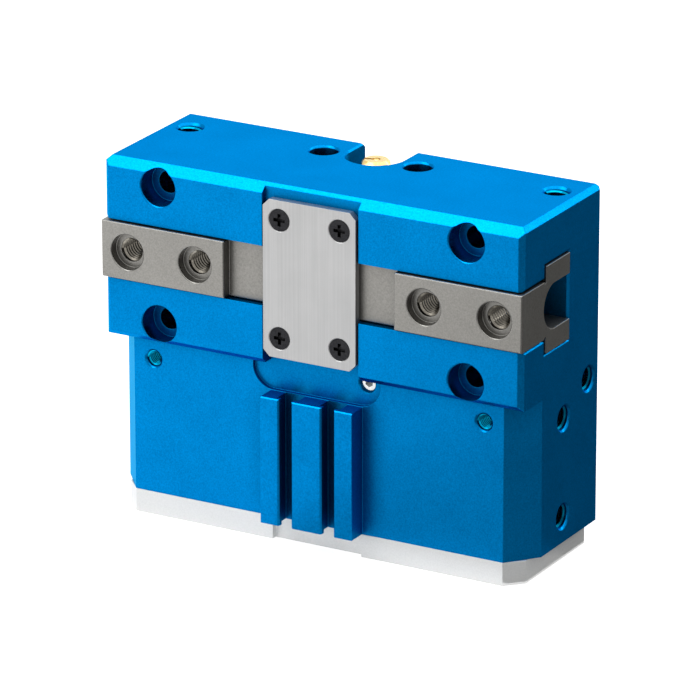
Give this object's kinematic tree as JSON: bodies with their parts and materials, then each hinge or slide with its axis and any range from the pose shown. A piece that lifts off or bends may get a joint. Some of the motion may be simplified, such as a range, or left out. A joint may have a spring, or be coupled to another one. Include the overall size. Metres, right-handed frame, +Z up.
{
  "type": "pneumatic parallel gripper",
  "caption": "Pneumatic parallel gripper: blue block housing, jaws sliding apart in a T-slot, wedge hook driven by an oval piston, sensor slots and threaded ports.",
  "frame": {"origin": "under the middle of the whole gripper, on the end cover's underside", "axes": "+X along the jaws' travel, +Y from the jaws' face to the back, +Z up the piston's axis"},
  "size_m": [0.1156, 0.0428, 0.092],
  "materials": {
    "blue_anodised": "blue anodised, fine blasted",
    "clear_anodised": "satin clear anodised",
    "brushed_plate": "brushed upright",
    "nickel_jaw": "matt nickel",
    "black_screw": "black oxide",
    "bright_plug": "zinc plated",
    "ground_steel": "ground",
    "hook_steel": "hardened and ground",
    "rod_chrome": "hard chrome",
    "ball_steel": "polished",
    "nipple_brass": "turned brass",
    "bush_bronze": "sintered bronze",
    "piston_aluminium": "turned",
    "seal_rubber": "smooth rubber",
    "bumper_rubber": "polyurethane",
    "guide_plastic": "filled plastic",
    "magnet": "sintered magnet"
  },
  "bodies": {
    "housing": {"body_block": "blue_anodised", "end_cover": "clear_anodised", "end_cover_screws": "black_screw", "end_cover_pins": "ground_steel", "end_cover_seal": "seal_rubber", "lower_bumpers": "bumper_rubber", "upper_bumpers": "bumper_rubber", "cover_plate": "brushed_plate", "cover_plate_screws": "black_screw", "seal_retainer": "ground_steel", "rod_seal": "seal_rubber", "rod_bush": "bush_bronze", "passage_plug": "bright_plug", "port_plugs": "bright_plug", "grease_nipple": "nipple_brass", "grease_nipple_ball": "ball_steel", "grease_nipple_spring": "ground_steel"},
    "piston_unit": {"piston": "piston_aluminium", "piston_seal": "seal_rubber", "piston_guide_ring": "guide_plastic", "piston_magnets": "magnet", "piston_rod": "rod_chrome", "rod_ring": "seal_rubber", "piston_screw": "black_screw", "wedge_hook": "hook_steel", "wedge_screw": "black_screw"},
    "right_jaw": {"jaw_right": "nickel_jaw"},
    "left_jaw": {"jaw_left": "nickel_jaw"}
  },
  "joints": [
    {"name": "piston_slide", "type": "slide", "parent": "housing", "child": "piston_unit", "axis": [0, 0, 1], "range_m": [0, 0.016]},
    {"name": "right_jaw_slide", "type": "slide", "parent": "housing", "child": "right_jaw", "axis": [-1, 0, 0], "range_m": [0, 0.008]},
    {"name": "left_jaw_slide", "type": "slide", "parent": "housing", "child": "left_jaw", "axis": [1, 0, 0], "range_m": [0, 0.008]}
  ],
  "couplings": [
    {"joint": "right_jaw_slide", "follows": "piston_slide", "ratio": 0.5},
    {"joint": "left_jaw_slide", "follows": "piston_slide", "ratio": 0.5}
  ]
}
